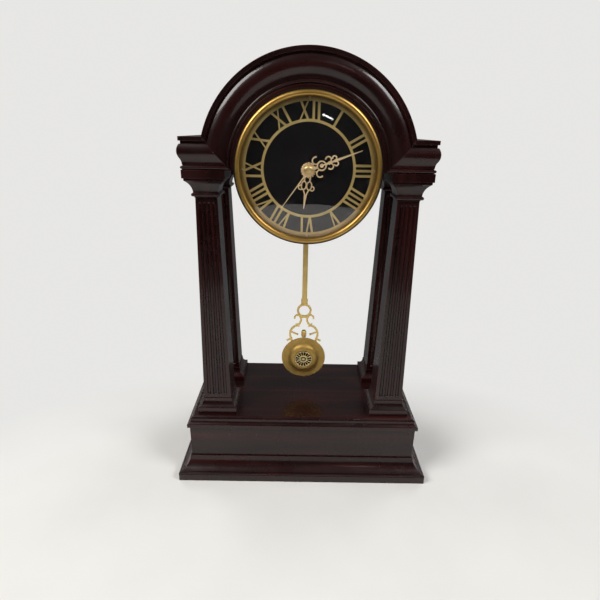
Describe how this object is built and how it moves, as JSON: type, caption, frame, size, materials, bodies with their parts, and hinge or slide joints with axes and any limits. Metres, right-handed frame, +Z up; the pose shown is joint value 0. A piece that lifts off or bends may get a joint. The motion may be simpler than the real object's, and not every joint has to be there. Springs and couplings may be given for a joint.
{
  "type": "desk pendulum clock",
  "caption": "Arched desk clock on fluted square columns over a moulded base, with a domed glass, brass bezel, pierced Roman chapter ring and a swinging brass pendulum.",
  "frame": {"origin": "on the floor under the middle of the base", "axes": "+Z up, the dial faces -Y, +X is to the right as seen from the front"},
  "size_m": [0.3172, 0.1736, 0.5],
  "materials": {
    "mahogany": "gloss lacquer",
    "polished_brass": "polished",
    "chapter_brass": "satin",
    "hand_gold": "satin",
    "dial_black": "gloss",
    "drum_paint": "semi-gloss",
    "clear_glass": "clear",
    "steel": "zinc plated",
    "nut_brass": "satin",
    "case_plastic": "matte",
    "gear_plastic": "moulded",
    "coil_copper": "enamelled wire",
    "board_green": "matte",
    "cell_wrap": "gloss wrap"
  },
  "bodies": {
    "case": {"base_top_board": "mahogany", "base_frieze_boards": "mahogany", "base_moulding_strips": "mahogany", "base_bottom_panel": "mahogany", "column_feet": "mahogany", "column_shaft_front_left": "mahogany", "column_shaft_front_right": "mahogany", "column_shaft_rear_left": "mahogany", "column_shaft_rear_right": "mahogany", "column_capitals": "mahogany", "arch_front_panel": "mahogany", "arch_back_panel": "mahogany", "arch_roof": "mahogany", "arch_moulding": "mahogany", "entablature_front_left": "mahogany", "entablature_front_right": "mahogany", "entablature_side_left": "mahogany", "entablature_side_right": "mahogany", "head_soffit_boards": "mahogany", "head_shoulder_boards": "mahogany", "bezel": "polished_brass", "glass_retaining_ring": "polished_brass", "rear_door_hinge": "polished_brass", "chapter_ring": "chapter_brass", "chapter_ring_pins": "chapter_brass", "dial_plate": "dial_black", "dial_drum": "drum_paint", "dial_glass": "clear_glass", "column_tie_rods": "steel", "tie_rod_nuts": "steel", "motor_stator": "steel", "battery_contacts": "steel", "movement_mounting_nut": "nut_brass", "movement_front_case": "case_plastic", "movement_rear_case": "case_plastic", "motor_coil": "coil_copper", "pendulum_drive_coil": "coil_copper", "circuit_board": "board_green"},
    "pendulum": {"pendulum_hanger": "case_plastic", "pendulum_magnet": "steel", "pendulum_rod": "polished_brass", "pendulum_fretwork": "polished_brass", "regulating_nut": "polished_brass", "pendulum_bob": "polished_brass", "bob_rosette": "polished_brass"},
    "seconds": {"second_hand": "hand_gold", "seconds_wheel": "gear_plastic"},
    "third": {"third_wheel": "gear_plastic"},
    "minutes": {"minute_hand": "hand_gold", "center_wheel": "gear_plastic"},
    "motion": {"motion_wheel": "gear_plastic"},
    "hours": {"hour_hand": "hand_gold", "hour_wheel": "gear_plastic"},
    "setting": {"setting_knob": "case_plastic"},
    "cell": {"battery": "cell_wrap"},
    "door": {"rear_door": "mahogany", "rear_door_hinge_leaf": "polished_brass", "rear_door_knob": "polished_brass"}
  },
  "joints": [
    {"name": "pendulum_swing", "type": "hinge", "parent": "case", "child": "pendulum", "pos_m": [0, 0, 0.3872], "axis": [0, 1, 0], "range_deg": [-6, 6]},
    {"name": "minute_hand_turn", "type": "hinge", "parent": "case", "child": "minutes", "pos_m": [0, -0.0599, 0.3872], "axis": [0, 1, 0], "continuous": true},
    {"name": "hour_hand_turn", "type": "hinge", "parent": "case", "child": "hours", "pos_m": [0, -0.0576, 0.3872], "axis": [0, 1, 0], "continuous": true},
    {"name": "second_hand_turn", "type": "hinge", "parent": "case", "child": "seconds", "pos_m": [0, -0.0622, 0.3872], "axis": [0, 1, 0], "continuous": true},
    {"name": "third_wheel_turn", "type": "hinge", "parent": "case", "child": "third", "pos_m": [-0.009, -0.0397, 0.40279], "axis": [0, 1, 0], "continuous": true},
    {"name": "motion_wheel_turn", "type": "hinge", "parent": "case", "child": "motion", "pos_m": [0.012, -0.0461, 0.3872], "axis": [0, 1, 0], "continuous": true},
    {"name": "setting_knob_turn", "type": "hinge", "parent": "case", "child": "setting", "pos_m": [0.01971, 0, 0.37801], "axis": [0, 1, 0], "continuous": true},
    {"name": "battery_slide", "type": "slide", "parent": "case", "child": "cell", "axis": [0, 1, 0], "range_m": [0, 0.02]},
    {"name": "rear_door_swing", "type": "hinge", "parent": "case", "child": "door", "pos_m": [-0.0796, 0.0586, 0.4012], "axis": [0, 0, 1], "range_deg": [0, 105]}
  ],
  "couplings": [
    {"joint": "hour_hand_turn", "follows": "minute_hand_turn", "ratio": 0.083333},
    {"joint": "second_hand_turn", "follows": "minute_hand_turn", "ratio": 60},
    {"joint": "third_wheel_turn", "follows": "minute_hand_turn", "ratio": -8},
    {"joint": "motion_wheel_turn", "follows": "minute_hand_turn", "ratio": -0.33333},
    {"joint": "setting_knob_turn", "follows": "minute_hand_turn", "ratio": 1}
  ]
}
